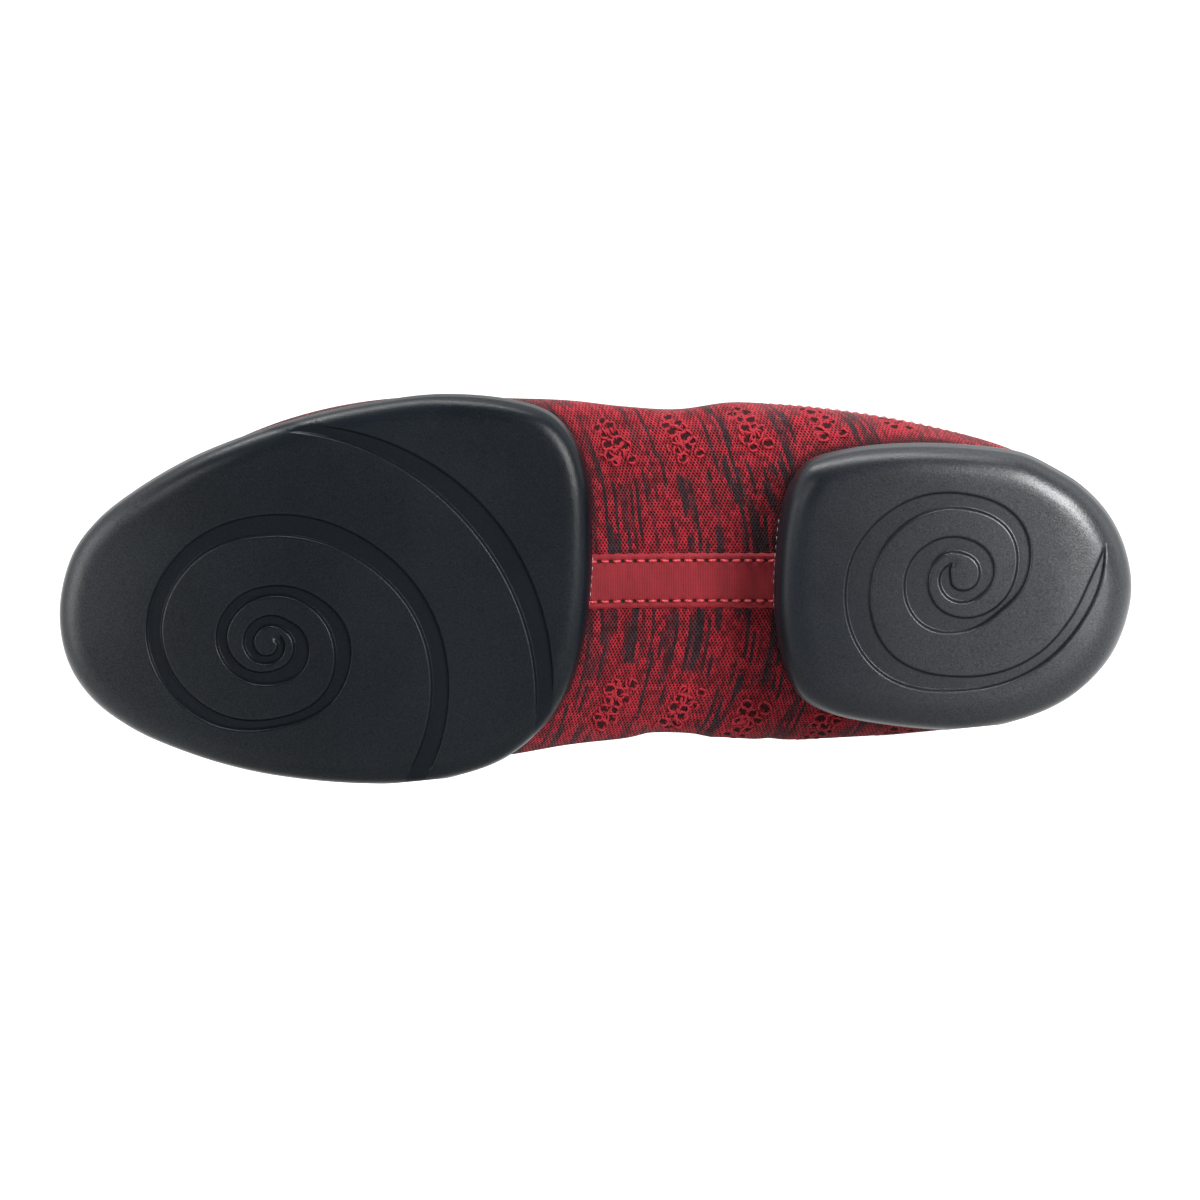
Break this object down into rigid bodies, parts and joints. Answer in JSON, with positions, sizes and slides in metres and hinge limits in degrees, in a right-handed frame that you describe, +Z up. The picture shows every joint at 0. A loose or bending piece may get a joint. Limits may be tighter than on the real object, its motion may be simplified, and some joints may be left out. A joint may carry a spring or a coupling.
{
  "type": "dance sneaker",
  "caption": "Left split-sole slip-on dance sneaker: a knitted upper with a ribbed collar, a taped arch, and moulded forefoot and heel pads with spiral pivot grooves.",
  "frame": {"origin": "centre of the bounding box's bottom face, on the floor the shoe lies on", "axes": "the shoe lies on its inner side: +X from toe towards heel, +Y from the soles towards the collar opening, +Z up, from the inner to the outer side"},
  "size_m": [0.2596, 0.1028, 0.0939],
  "materials": {
    "knit": "matte",
    "rib_knit": "matte",
    "sole_rubber": "matte",
    "tape": "satin",
    "insole": "matte"
  },
  "bodies": {
    "root": {"upper": "knit", "collar_band": "rib_knit", "forefoot_pad": "sole_rubber", "heel_pad": "sole_rubber", "arch_tape": "tape", "insole": "insole"}
  },
  "joints": []
}
